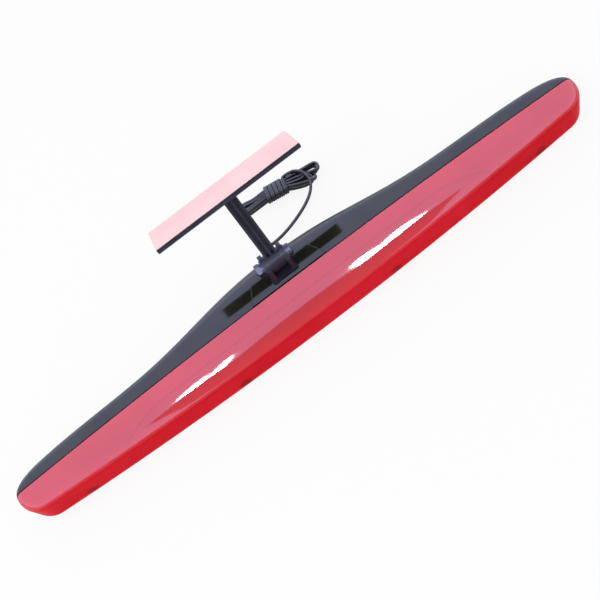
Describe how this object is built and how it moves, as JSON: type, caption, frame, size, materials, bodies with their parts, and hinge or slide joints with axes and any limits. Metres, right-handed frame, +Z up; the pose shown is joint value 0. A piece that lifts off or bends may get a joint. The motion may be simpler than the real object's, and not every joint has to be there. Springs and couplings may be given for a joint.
{
  "type": "third brake light",
  "caption": "Slim high-mounted stop lamp: red lens on a dark rear housing, with a tilting stick-on bracket and a tied supply cable.",
  "frame": {"origin": "on the lamp's flat underside, midway between the two ends of the seam between lens and housing", "axes": "+X along the lamp, the lens faces -Y, the cable leaves towards +Y, +Z up from the underside"},
  "size_m": [0.37, 0.1, 0.0822],
  "materials": {
    "red_lens": "clear red acrylic, polished",
    "black_housing": "moulded black ABS, satin gloss",
    "gasket_rubber": "soft black sealing bead",
    "white_reflector": "white moulded strip",
    "board_green": "solder-masked circuit board",
    "led_red": "red moulded lamp body",
    "component_black": "small board components",
    "zinc_steel": "zinc-plated steel",
    "solder": "solder",
    "bracket_black": "moulded black plastic, satin",
    "disc_black": "fibre friction disc",
    "foam_black": "closed-cell foam tape",
    "liner_pink": "pale pink release film",
    "gland_rubber": "black rubber",
    "cable_black": "black PVC cable sheath",
    "lead_insulation": "PVC wire insulation",
    "tie_nylon": "nylon tie"
  },
  "bodies": {
    "lamp": {"outer_lens": "red_lens", "rear_housing": "black_housing", "seam_gasket": "gasket_rubber", "case_screws": "zinc_steel", "circuit_board": "board_green", "reflector_strip": "white_reflector", "led_lamps": "led_red", "board_screws": "zinc_steel", "board_resistors": "component_black", "protection_diode": "component_black", "hinge_mount": "bracket_black", "mount_screws": "zinc_steel", "friction_discs": "disc_black", "flat_washers": "zinc_steel", "spring_washer": "zinc_steel", "hinge_nut": "zinc_steel", "hinge_bolt": "zinc_steel", "cable_gland": "gland_rubber", "inner_leads": "lead_insulation", "solder_joints": "solder", "cable_tie": "tie_nylon", "cable_lead": "cable_black", "cable_hank": "cable_black"},
    "bracket": {"bracket_leg": "bracket_black", "foam_tape": "foam_black", "release_liner": "liner_pink"}
  },
  "joints": [
    {"name": "bracket_tilt", "type": "hinge", "parent": "lamp", "child": "bracket", "pos_m": [0.0012, 0.015, 0.0325], "axis": [1, 0, 0], "range_deg": [-61, 85]}
  ]
}
